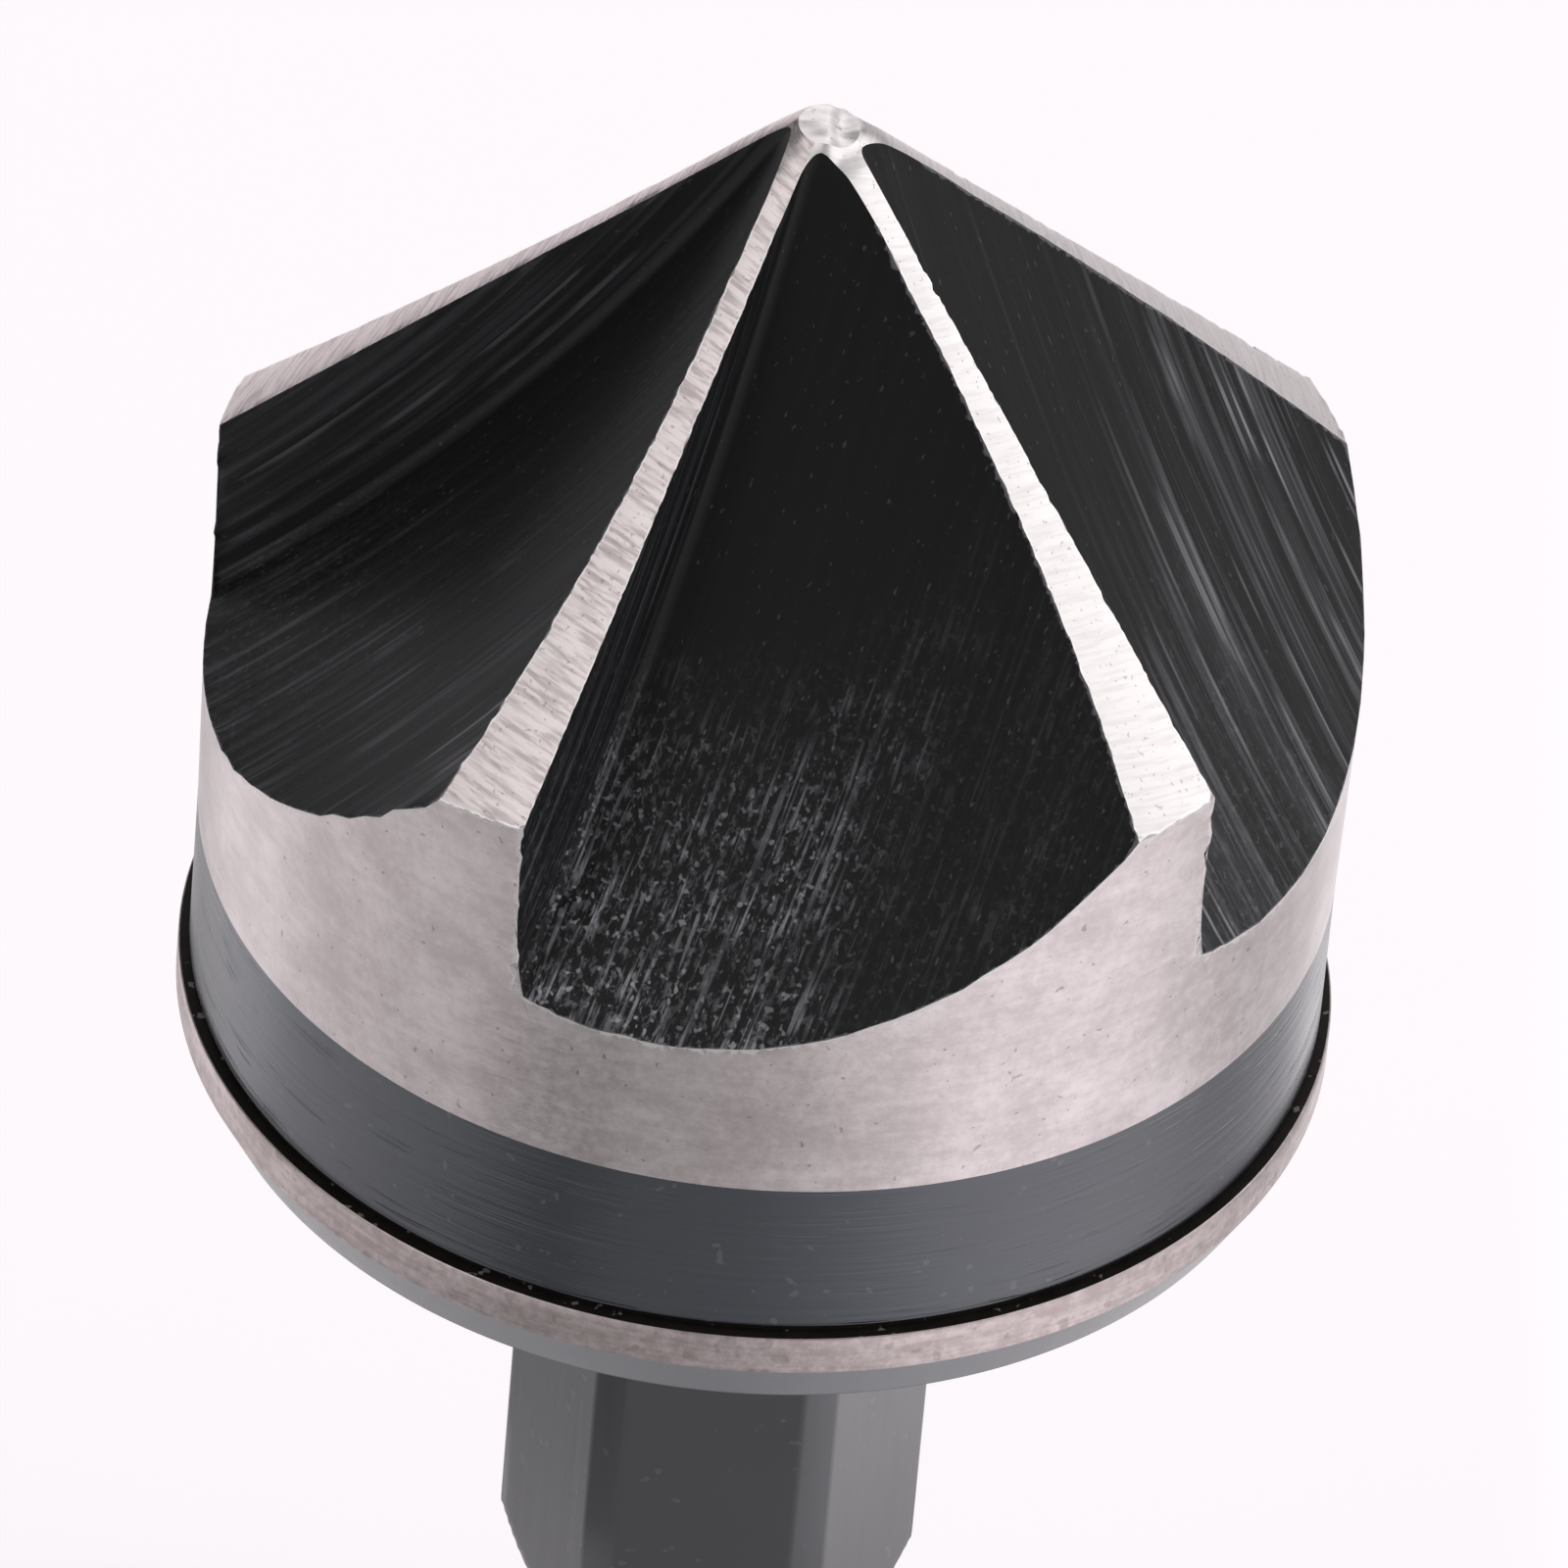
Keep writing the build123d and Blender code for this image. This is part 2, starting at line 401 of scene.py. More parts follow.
def add_patch(radius, angle, height, marks, edge_mm, slot, turned_over=False, chatter=0.0, drag=0.0):
    """Adds a grid of samples with its marks, its distance to the nearest sharp edge, its material
    slot, how far it is chattered, and how far it is scratched or given a painted sheen."""
    radius, angle, height = np.broadcast_arrays(radius, angle, height)
    n, m = radius.shape
    i = stored() + np.arange(n * m).reshape(n, m)
    quads = np.stack([i[:-1, :-1], i[:-1, 1:], i[1:, 1:], i[1:, :-1]], -1).reshape(-1, 4)
    points = np.stack([radius * np.cos(angle), radius * np.sin(angle), height], -1)
    store["points"].append(points.reshape(-1, 3))
    store["faces"].append(quads if turned_over else quads[:, ::-1])
    store["marks"].append(np.stack(np.broadcast_arrays(*marks), -1).reshape(-1, 2))
    store["slot"].append(np.full(len(quads), slot))
    for label, value in zip(WEAR_AND_SHEEN, (edge_mm, chatter, drag)):
        store[label].append(np.broadcast_to(value, (n, m)).reshape(-1))


def weld():
    """Joins equal points and returns the points, what each carries, and the faces as loops."""
    whole = {label: np.concatenate(parts) for label, parts in store.items()}
    keys = np.round(whole["points"] / WELD_MM).astype(np.int64)
    _, first, joined = np.unique(keys, axis=0, return_index=True, return_inverse=True)
    joined = joined.reshape(-1)
    least = np.full(len(first), np.inf)
    np.minimum.at(least, joined, whole["edge_mm"])
    corner = joined[whole["faces"]]
    keep = corner != np.roll(corner, -1, axis=1)
    good = keep.sum(1) >= 3
    corner, keep = corner[good], keep[good]
    return {"points": whole["points"][first], "edge_mm": least, "chatter": whole["chatter"][first],
            "drag": whole["drag"][first], "loops": corner[keep], "sizes": keep.sum(1),
            "marks": whole["marks"][whole["faces"][good][keep]], "slot": whole["slot"][good]}


# %% [markdown]
# ## Building the five sectors
# The maps follow the tools. In the flutes the cutter's teeth ran along circles about its axis, and
# the marks follow those arcs. On the lands the grinding wheel crossed the narrow strip.

# %% Distances and marks on the patches of a sector
MILLED, LAND, GROUND, BAND, RIM, OXIDE, LEDGE = range(7)


def arc(u, z):
    """Length along the cutter's rim, from under its axis, of a point at u and height z."""
    return CUTTER_RADIUS * np.arctan2(CENTRE_U - u, CENTRE_Z - z)


arc_face = arc(face_r, face_z)
arc_flute = arc(flute_r * np.cos(flute_phi), flute_z)
face_q = np.hypot(face_r - CENTRE_U, CENTRE_Z - face_z) - NOSE_START
along_edge = 1 / sin(HALF_ANGLE)
face_depth = on_edge(face_r) - face_z
beside_web = np.where(radii[first_flute:] < FACE_RADIUS - TINY, flute_phi[:, 0], 0)[:, None]
flute_depth = on_edge(flute_r) - face_low(flute_r) + flute_len - q_top(flute_r)
flute_depth += flute_r * beside_web
web_depth = on_edge(web_r) - face_low(web_r) + web_r * web_angle
heel_gap = q_heel(flute_r) - flute_len
land_heel = land_r * (land_angle - cut_phi(land_r, q_heel(land_r)))
land_cut = land_r * (PITCH_ANGLE - land_angle)
flute_end = FACE_ROWS + len(flute_rows)
along_face, along_flute = outline_along[:FACE_ROWS + 1], outline_along[FACE_ROWS:flute_end]
along_land = outline_along[flute_end - 1:]
burrs = [{name: random_line(*numbers) for name, numbers in BURR_LINES.items()}
         for _ in range(FLUTES)]
turns = [FIRST_EDGE + k * PITCH_ANGLE for k in range(FLUTES)]

# %% Lay the patches of every sector
# For each flute: how much the cutter chattered at its end, how much chips were dragged along it,
# and how strongly light scratches along its heel paint a sheen there
CHATTER, DRAG = (1.2, 0.20, 0.5, 0.7, 0.12), (0.06, 1.2, 0.5, 0.4, 0.28)
HEEL_SCRATCHES_AND_SHEEN = (0.0, 0.3, 0.5, 0.4, 0.5)
# Each sector reads its marks a shift further on; edges nearer the axis than WEAR_RADIUS wear less
SECTOR_SHIFT, WEAR_RADIUS, LEAST_RADIUS = 40.0, 1.6, 0.4


# The wear values passed on are the chatter and the drag map, which also carries the painted heel sheen
def add_burred(k, owner, grid, away, along, marks, slot, near=FAR, **wear):
    """Adds one grid of sector k, its radius, angle and height, with the edges moved. Away is the
    distance to the cutting edge, the heel and the outline; the owner is the sector that gives the
    edge its chips. Near is another distance to an edge, for wear only."""
    r, phi, z = grid
    lines = dict(burrs[k], chip=burrs[owner]["chip"], nick=burrs[owner]["nick"])
    out, side, lift = burr_move(lines, r, *away, along)
    edge = 0 * r + near
    for distance in away:
        edge = np.minimum(edge, distance)
    edge = edge + 0.3 * np.clip(WEAR_RADIUS - r, 0, 1)
    turned = phi + side / np.maximum(r, LEAST_RADIUS) + turns[k]
    add_patch(r + out, turned, z + lift, marks, edge, slot, **wear)


chatter_floor = hill(flute_r, 4.7, 9.0) * (1 - 0.92 * hill(flute_len, 3.4, 5.6))
drag_floor = 0.05 + 0.95 * hill(flute_r + 0.3 * flute_len, 5.0, 9.5)
# A painted sheen along each heel, laid on as light scratches through the drag map
heel_scratches_and_sheen = hill(heel_gap, 1.5, 0.1) * hill(flute_r, 5.5, 7.8)
for k in range(FLUTES):
    shift = SECTOR_SHIFT * k
    for rows, slot in ((slice(0, first_face + 1), LAND), (slice(first_face, None), MILLED)):
        r = face_r[rows]
        add_burred(k, k, (r, 0 * r, face_z[rows]), (face_depth[rows], FAR, out_face - r), along_face,
                   (arc_face[rows] + shift, face_q[rows]), slot,
                   chatter=0.15 * CHATTER[k] * hill(r, 5, 9), drag=0.25 + DRAG[k])
    add_burred(k, k, (flute_r, flute_phi, flute_z), (flute_depth, heel_gap, out_flute - flute_r),
               along_flute, (arc_flute + shift, flute_len), MILLED,
               chatter=CHATTER[k] * chatter_floor, drag=DRAG[k] * drag_floor + HEEL_SCRATCHES_AND_SHEEN[k] * heel_scratches_and_sheen)
    add_burred(k, (k + 1) % FLUTES, (land_r, land_angle, land_z),
               (land_cut, land_heel, out_land - land_r), along_land,
               (land_cut + shift, land_r * along_edge + 0.25 * land_cut + shift), LAND)
    add_burred(k, k, (web_r, web_angle, web_z), (web_depth, FAR, FAR), np.zeros(WEB_ROWS + 1),
               (web_r * web_angle + shift, web_r * along_edge + shift), LAND)
print("sectors: %d samples" % stored())

# %% [markdown]
# ## The flat left at the point
# The grinder leaves a flat a millimetre across, a small disc of rings that close on a single
# point. One side of it has chipped lower, so the welded skin is lowered there afterwards.

# %% The point
TIP_RINGS = 6


def all_round(angles):
    """A sector's angles in every sector, and the first of them again one full turn on."""
    return np.concatenate([t + angles for t in turns] + [[turns[0] + 2 * pi]])


tip_turn = all_round(np.concatenate([web_angle[0, :-1], land_angle[0, :-1]]))
tip_r = np.linspace(TIP_RADIUS + 0 * tip_turn, 0 * tip_turn, TIP_RINGS)
add_patch(tip_r, tip_turn, Z_TIP, (tip_r * np.cos(tip_turn), tip_r * np.sin(tip_turn)), FAR, LAND,
          turned_over=True)


def tip_chip(x, y):
    """How far the point is chipped away at x and y: not at all behind on the left, a little in
    front on the left, most in front on the right, with two low waves across it."""
    front, right = hill(y, 0.05, -0.35), hill(x, -0.05, 0.25)
    chip = front * (0.05 + 0.10 * right) + (1 - front) * right * (0.13 - 0.06 * hill(x, 0.20, 0.50))
    return chip + 0.006 * np.sin(11 * x + 5 * y) + 0.005 * np.sin(17 * y - 6 * x + 1)


# %% [markdown]
# ## The ground cylinder
# Its upper edge is the torn outline of the flutes, its lower edge the level circle where the
# grinding stops. Every sample of the outline sends one column down to that circle, fanned evenly.

# %% The ground cylinder, one column for each sample of the outline
GROUND_ROWS, GROUND_PULL = 15, 1.4
fan = (np.arange(COLUMNS) - FACE_ROWS / 2) / COLUMNS * PITCH_ANGLE
ring = np.concatenate([t + fan for t in turns])
half_flat = np.arccos(HEX_ACROSS_FLATS / 2 / HEX_CORNER_RADIUS)
hex_edges = np.concatenate([radians(30 + 60 * m) + np.array([-1, 1]) * half_flat for m in range(6)])
nearest = [int(np.abs(np.angle(np.exp(1j * (ring - a)))).argmin()) for a in hex_edges]
ring[nearest] += np.angle(np.exp(1j * (hex_edges - ring[nearest])))
ring = np.append(ring, ring[0] + 2 * pi)

top_angle = all_round(outline_phi)
top_z, top_r = (np.append(np.tile(line, FLUTES), line[0]) for line in (outline_z, outline_r))
fall = np.linspace(0, 1, GROUND_ROWS)[:, None] ** GROUND_PULL
ground_z = top_z + fall * (Z_BAND - top_z)
ground_angle = top_angle + fall * (ring - top_angle)
ground_r = np.where(fall > 0, ground_radius(ground_z), top_r)
ground_rim = np.hypot(ground_z - top_z, HEAD_RADIUS * (ground_angle - top_angle))


def outline_distance(phi, z):
    """Distance on the cylinder to the nearest piece of the outline: to the point at the share
    clip(((p - a) . (b - a)) / |b - a|^2, 0, 1) of each piece from a to b."""
    line = np.stack([HEAD_RADIUS * outline_phi, outline_z], -1)
    a, b = line[:-1], line[1:]
    p = np.stack([HEAD_RADIUS * phi, z], -1)[..., None, :]
    t = np.clip(((p - a) * (b - a)).sum(-1) / np.maximum(((b - a) ** 2).sum(-1), 1e-12), 0, 1)
    return np.linalg.norm(p - a - t[..., None] * (b - a), axis=-1).min(-1)


for k in range(FLUTES):
    part = slice(k * COLUMNS, (k + 1) * COLUMNS + 1)
    r, a, z, d = (grid[:, part] for grid in (ground_r, ground_angle, ground_z, ground_rim))
    add_burred(k, k, (r, a - turns[k], z), (FAR, FAR, d), outline_along, (HEAD_RADIUS * a, z),
               GROUND, near=outline_distance(a - turns[k], z))
print("ground cylinder: %d columns" % (len(ring) - 1))

# %% [markdown]
# ## From the band to the tail
# The rest is a profile of radius against height, run round the ring of columns. The hexagon bar
# with turned corners is the smaller of two radii everywhere, the flat's and the turned profile's,
# which gives the arched edges of the groove and of the tail's bevel without any cutting.

# %% Turned rows of the head: radius and height
UNDERCUT, UNDERCUT_LOW, UNDERCUT_HIGH = 0.05, 0.10, 0.15


def turned_skin(r, z, across, slot):
    """Adds skin all round at radius r and height z, with the second axis of its marks."""
    add_patch(r, ring, z, (HEAD_RADIUS * ring, across), FAR, slot)


band_rows = np.linspace((BAND_RADIUS, Z_BAND), (BAND_RADIUS, Z_LEDGE + UNDERCUT_HIGH), 7)
ledge_rows = [band_rows[-1], (BAND_RADIUS - UNDERCUT, Z_LEDGE + UNDERCUT_LOW),
              (BAND_RADIUS - UNDERCUT, Z_LEDGE), (COLLAR_RADIUS - 0.03, Z_LEDGE)]
rim_rows = [ledge_rows[-1], (COLLAR_RADIUS - 0.01, Z_LEDGE - 0.015), (COLLAR_RADIUS, Z_LEDGE - 0.05),
            (COLLAR_RADIUS, (Z_LEDGE + Z_RIM_LOW) / 2), (COLLAR_RADIUS, Z_RIM_LOW)]
bevel_rows = np.linspace((COLLAR_RADIUS, Z_RIM_LOW), (COLLAR_FOOT_RADIUS, SHANK_LENGTH), 4)
for rows, slot in ((band_rows, BAND), (ledge_rows, LEDGE), (rim_rows, RIM), (bevel_rows, OXIDE)):
    r, z = np.array(rows).T[:, :, None]
    turned_skin(r, z, z, slot)

# %% The collar's underside, the hexagon shank and its tail
groove = TAIL_LENGTH + np.array([0, GROOVE_FLANK, GROOVE_FLANK + GROOVE_ROOT_LENGTH,
                                 2 * GROOVE_FLANK + GROOVE_ROOT_LENGTH])


def shank_radius(angle, z):
    """Smaller of the turned profile and the hexagon, whose distance from the axis is half the
    width over the cosine of the angle to the middle of the nearest flat."""
    from_flat = angle % radians(60) - radians(30)
    turned = np.interp(z, [0, TAIL_CHAMFER, *groove, SHANK_LENGTH],
                       [TAIL_RADIUS, HEX_CORNER_RADIUS, HEX_CORNER_RADIUS, GROOVE_ROOT_RADIUS,
                        GROOVE_ROOT_RADIUS, HEX_CORNER_RADIUS, HEX_CORNER_RADIUS])
    return np.minimum(HEX_ACROSS_FLATS / 2 / np.cos(from_flat), turned)


under_r = np.linspace(COLLAR_FOOT_RADIUS + 0 * ring, shank_radius(ring, SHANK_LENGTH), 7)
turned_skin(under_r, SHANK_LENGTH, under_r, OXIDE)
levels = np.unique(np.concatenate([
    np.linspace(SHANK_LENGTH, groove[3], 6), np.linspace(groove[3], groove[0], 43), groove[1:3],
    np.linspace(groove[0], TAIL_CHAMFER, 5), np.linspace(TAIL_CHAMFER, 0, 6)]))[::-1, None]
turned_skin(shank_radius(ring, levels), levels, levels, OXIDE)
tail_r = np.linspace(TAIL_RADIUS + 0 * ring, 0 * ring, 5)
turned_skin(tail_r, 0.0, tail_r, OXIDE)

# %% Weld the skin and chip the point
skin = weld()
x, y, z = skin["points"].T
skin["points"][:, 2] -= tip_chip(x, y) * hill(np.hypot(x, y), 1.00, 0.50) * (z > Z_CONE)
print("skin: %d points, %d faces" % (len(skin["points"]), len(skin["sizes"])))

# %% Put the skin into a mesh
SHARP_ANGLE = radians(28)


def mesh_from(name, skin):
    """Fills a mesh with whole arrays, and shades it smooth except at sharp angles."""
    def fill(data, label, values, kind=np.float32):
        data.foreach_set(label, np.asarray(values, kind).ravel())

    mesh = bpy.data.meshes.new(name)
    sizes = skin["sizes"]
    mesh.vertices.add(len(skin["points"]))
    mesh.loops.add(int(sizes.sum()))
    mesh.polygons.add(len(sizes))
    fill(mesh.vertices, "co", skin["points"] * MM)
    fill(mesh.loops, "vertex_index", skin["loops"], np.int32)
    fill(mesh.polygons, "loop_start", np.cumsum(sizes) - sizes, np.int32)
    fill(mesh.polygons, "material_index", skin["slot"], np.int32)
    mesh.update(calc_edges=True)
    fill(mesh.uv_layers.new(name="marks").uv, "vector", skin["marks"])
    for label in WEAR_AND_SHEEN:
        fill(mesh.attributes.new(label, "FLOAT", "POINT").data, "value", skin[label])
    mesh.shade_smooth()
    mesh.set_sharp_from_angle(angle=SHARP_ANGLE)
    assert not mesh.validate()
    return mesh


bit = bpy.data.objects.new("bit", mesh_from("bit", skin))
bpy.context.scene.collection.objects.link(bit)
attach(bit, "root")
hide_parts("countersink_bit")
print("bit: %d triangles" % int((skin["sizes"] - 2).sum()))

# %% [markdown]
# ## Effects that several finishes share
# Grinding and milling leave fine parallel streaks, handling leaves scratches, scale and swarf
# leave specks, and edges wear bright, with a painted highlight along them. Each of these is one node
# group, placed in every finish with its own values. All read millimetres, of the object or of the map
# of tool marks.

# %% Small helpers for node trees
def feed(socket, value):
    """Links an output to a socket, or sets the socket's own value."""
    if isinstance(value, bpy.types.NodeSocket):
        socket.id_data.links.new(value, socket)
    else:
        socket.default_value = value


def feed_all(node, **values):
    """Feeds a node's inputs by name, with underscores for spaces."""
    for label, value in values.items():
        feed(node.inputs[label.replace("_", " ")], value)


def new_node(tree, kind, *values, **settings):
    """Adds a shader node with its own settings and feeds its first inputs."""
    node = tree.nodes.new("ShaderNode" + kind)
    for label, setting in settings.items():
        setattr(node, label, setting)
    for socket, value in zip(node.inputs, values):
        feed(socket, value)
    return node


def math(operation, first, *others, clamp=False):
    """Math nodes on sockets or numbers, one after the other for more than two values."""
    for other in others:
        tree = (first if isinstance(first, bpy.types.NodeSocket) else other).id_data
        node = new_node(tree, "Math", first, other, operation=operation, use_clamp=clamp)
        first = node.outputs[0]
    return first


def times(*values):
    """The product of all values."""
    return math("MULTIPLY", *values)


def most(*values, clamp=False):
    """The largest of all values."""
    return math("MAXIMUM", *values, clamp=clamp)


def total(*shares, plus=0.0):
    """A sum of sockets, or of (socket, weight) pairs, and of a number."""
    parts = [times(*share) if isinstance(share, tuple) else share for share in shares]
    return math("ADD", *parts, *([plus] if plus else []))


def stretch(vector, by):
    """Multiplies a vector by another, axis by axis."""
    return new_node(vector.id_data, "VectorMath", vector, by, operation="MULTIPLY").outputs[0]


def axis(vector, number):
    """One axis of a vector: 0, 1 or 2."""
    return new_node(vector.id_data, "SeparateXYZ", vector).outputs[number]


def noise(vector, scale=1.0, detail=2.0, roughness=0.5, distortion=0.0, by=None):
    """A Noise Texture's value, about 0.5 on average, of a vector stretched by another."""
    node = new_node(vector.id_data, "TexNoise")
    feed_all(node, Vector=vector if by is None else stretch(vector, by), Scale=scale,
             Detail=detail, Roughness=roughness, Distortion=distortion)
    return node.outputs["Fac"]


def ramp(value, low, high, out_low=0.0, out_high=1.0):
    """A smooth step from out_low to out_high as the value goes from low to high."""
    node = new_node(value.id_data, "MapRange", interpolation_type="SMOOTHSTEP")
    feed_all(node, Value=value, From_Min=low, From_Max=high, To_Min=out_low, To_Max=out_high)
    return node.outputs["Result"]


def blend(factor, a, b):
    """Mixes two colours."""
    node = new_node(factor.id_data, "Mix", data_type="RGBA")
    a, b = (c if isinstance(c, bpy.types.NodeSocket) else (*c, 1) for c in (a, b))
    feed_all(node, Factor=factor, A=a, B=b)
    return node.outputs["Result"]


def new_group(name, output, **inputs):
    """Makes a node group with one float output. Returns the group, the sockets that carry its
    inputs and the socket that its result goes into."""
    tree = bpy.data.node_groups.new(name, "ShaderNodeTree")
    for label, value in inputs.items():
        kind = "NodeSocketVector" if isinstance(value, tuple) else "NodeSocketFloat"
        label = label.replace("_", " ")
        socket = tree.interface.new_socket(name=label, in_out="INPUT", socket_type=kind)
        socket.default_value = value
    tree.interface.new_socket(name=output, in_out="OUTPUT", socket_type="NodeSocketFloat")
    given = tree.nodes.new("NodeGroupInput").outputs
    return tree, given, tree.nodes.new("NodeGroupOutput").inputs[output]


# %% Streaks: fine parallel marks of a wheel or a cutter
ORIGIN, UNIT = (0.0, 0.0, 0.0), (1.0, 1.0, 1.0)
streaks, given, result = new_group("streaks", "Value", Vector=ORIGIN, Stretch=UNIT, Detail=3.0)
feed(result, noise(given["Vector"], by=given["Stretch"], detail=given["Detail"], roughness=0.62))

# %% Scratches: the few strongest streaks, broken up along their length
scratches, given, result = new_group("scratches", "Mask", Vector=ORIGIN, Stretch=UNIT,
                                     Break_up=UNIT, Rarity=0.66, Softness=0.04)
lines = noise(given["Vector"], by=given["Stretch"], detail=1.0)
gaps = noise(given["Vector"], by=given["Break up"])
full = total(given["Rarity"], given["Softness"])
strong = ramp(lines, given["Rarity"], full)
feed(result, times(strong, ramp(gaps, 0.42, 0.62)))

# %% Specks: bare grains or small pits, where a fine noise stands out of its average
specks, given, result = new_group("specks", "Mask", Vector=ORIGIN, Per_mm=4.0, Rarity=0.66,
                                  Softness=0.04)
grains = noise(given["Vector"], scale=given["Per mm"], detail=1.0)
full = total(given["Rarity"], given["Softness"])
feed(result, ramp(grains, given["Rarity"], full))

# %% Edge wear and painted edge highlight: a ragged strip along the sharp edges
edge_wear_and_highlight, given, result = new_group("edge wear and highlight", "Mask", Edge_mm=1.0, Vector=ORIGIN, Width=0.05,
                                     Ragged=0.8, Per_mm=6.0)
tooth = noise(given["Vector"], scale=given["Per mm"], detail=3.0)
uneven = total((math("SUBTRACT", tooth, 0.5), given["Ragged"], 4.0), plus=1.0)
reach = times(given["Width"], most(uneven, 0.01))
feed(result, ramp(given["Edge mm"], reach, times(reach, 0.4)))
print("groups:", [t.name for t in bpy.data.node_groups])

# %% [markdown]
# ## Starting a finish
# Every finish reads the object's coordinates in millimetres, the map of tool marks and the
# distance to the nearest sharp edge. The helpers above find their tree from a socket they get.

# %% A finish and its coordinates
class Finish:
    """One material: its tree, its shader, and the coordinates that patterns read."""

    def __init__(self, name, **sockets):
        self.material = bpy.data.materials.new(name)
        self.material.use_nodes = True
        self.tree = self.material.node_tree
        self.shader = self.tree.nodes["Principled BSDF"]
        self.set(**sockets)
        place = new_node(self.tree, "TexCoord").outputs["Object"]
        self.mm = stretch(place, (1 / MM, 1 / MM, 1 / MM))
        self.marks = new_node(self.tree, "UVMap", uv_map="marks").outputs["UV"]
        self.edge = self.value("edge_mm")

    def value(self, name):
        """Reads one of the mesh's own values."""
        return new_node(self.tree, "Attribute", attribute_name=name).outputs["Fac"]

    def use(self, group, vector, **values):
        """Places a shared effect with its own values."""
        node = new_node(self.tree, "Group", node_tree=group)
        feed_all(node, Vector=vector, **values)
        return node.outputs[0]

    def bump(self, height, depth_mm):
        """Turns a height of 0 to 1 into a bump depth_mm deep."""
        node = new_node(self.tree, "Bump")
        feed_all(node, Strength=1.0, Distance=depth_mm * MM, Height=height)
        self.set(Normal=node.outputs["Normal"])

    def set(self, **sockets):
        """Feeds the shader's inputs by name."""
        feed_all(self.shader, **sockets)


# %% [markdown]
# ## The milled flutes
# The flutes are blackened after milling and never ground, so they keep the cutter's marks under a
# thin matt skin that isn't metallic. Two maps say where the work went rough: where the cutter
# chattered the floor is crinkled and beaded with bare grains, whose crests and beads are also painted
# light as glints, and where chips were dragged out, long light scratches follow the cutter's arcs;
# along the heels these scratches also paint a sheen.

# %% Milled and blackened
# The scratched tone is bare steel, and it is also the colour of the painted glints and heel sheen
SOOT, SCRATCHED_AND_GLINT_TONE = ((0.0090, 0.0090, 0.0100), (0.0125, 0.0125, 0.0140)), (0.46, 0.455, 0.49)
milled = Finish("milled and blackened", IOR=1.45, Specular_IOR_Level=0.30)
marks = milled.marks
chatter, drag = milled.value("chatter"), milled.value("drag")
fine = milled.use(streaks, marks, Stretch=(0.10, 5.0, 1.0), Detail=2.0)
broad = milled.use(streaks, marks, Stretch=(0.05, 1.9, 1.0), Detail=3.0)
lines = ramp(fine, 0.50, 0.66)
crinkle = noise(marks, by=(4.6, 8.4, 1.0), detail=3.0, roughness=0.66, distortion=0.3)
ripple_glints = ramp(crinkle, 0.49, 0.63)
torn = milled.use(scratches, marks, Stretch=(0.50, 11.0, 1.0), Break_up=(1.5, 3.0, 1.0),
                  Rarity=0.54, Softness=0.09)
beads = milled.use(specks, marks, Per_mm=6.5, Rarity=0.62, Softness=0.08)
loose = milled.use(specks, stretch(marks, (0.6, 1.3, 1.0)), Per_mm=8.0, Rarity=0.68,
                   Softness=0.08)
scratch = milled.use(scratches, marks, Stretch=(0.06, 6.5, 1.0), Break_up=(0.35, 1.6, 1.0),
                     Rarity=0.56, Softness=0.12)
patchy = ramp(noise(milled.mm, 0.9), 0.36, 0.60, 0.45, 1.0)
rough_part = times(chatter, patchy)
# Where the cutter chattered, the crinkle's crests and the beads are painted light as glints, partly
# bare grains
grains = most(times(torn, 0.62), times(beads, 0.62))
beads_and_glints = times(rough_part, total((ripple_glints, total((lines, 0.30), plus=0.24)), grains))
# The drag map also carries the painted heel sheen, which these scratches and bands show
drawn_out = times(most(rough_part, drag), times(scratch, 0.44))
bands = times(drag, total((ramp(broad, 0.44, 0.66), 0.045), (lines, 0.125)))
loose_specks_and_glints = times(loose, total((rough_part, 0.6), plus=0.10))
# A worn strip along the flute edges, painted bright as a highlight
worn_flute_edge_highlight = milled.use(edge_wear_and_highlight, milled.mm, Edge_mm=milled.edge, Width=0.020, Ragged=1.2, Per_mm=8.0)
bare_and_glints = most(total(beads_and_glints, drawn_out, bands), loose_specks_and_glints, times(worn_flute_edge_highlight, 0.34), clamp=True)
milled.set(Base_Color=blend(bare_and_glints, blend(broad, *SOOT), SCRATCHED_AND_GLINT_TONE),
           Roughness=total((fine, 0.22), plus=0.30))
milled.bump(total((crinkle, rough_part, 1.8), (fine, 0.35), (broad, 0.5)), depth_mm=0.022)

# %% [markdown]
# ## The ground lands
# The wheel's marks lie across each land, at right angles to its edge. Bright steel with a faint
# warm tone; darker scores gather near the point, and the edge has lost grains and is worn bright,
# with a painted highlight along it. The sectors' maps start one shift apart, so they tell the lands
# apart: the further on, the coarser the land.

# %% Ground bright, marks across
LAND_LOW = (0.76, 0.735, 0.730), (0.46, 0.395, 0.395)
LAND_HIGH = (0.83, 0.805, 0.800), (0.79, 0.705, 0.705)
WHEEL_TONE, WORN_EDGE_HIGHLIGHT_TONE, SCORE_TONE = (0.80, 0.745, 0.740), (0.88, 0.84, 0.84), (0.17, 0.15, 0.15)
SCORES_BELOW_CONE_TOP = 5.0
land = Finish("ground land", Metallic=1.0)
marks = land.marks
grain = land.use(streaks, marks, Stretch=(1.2, 9.0, 1.0), Detail=3.0)
wheel = land.use(streaks, marks, Stretch=(0.6, 2.0, 1.0), Detail=2.0)
score = land.use(scratches, marks, Stretch=(0.9, 5.5, 1.0), Break_up=(1.6, 2.0, 1.0), Rarity=0.54,
                 Softness=0.16)
pits = land.use(specks, land.mm, Per_mm=12.0, Rarity=0.68, Softness=0.06)
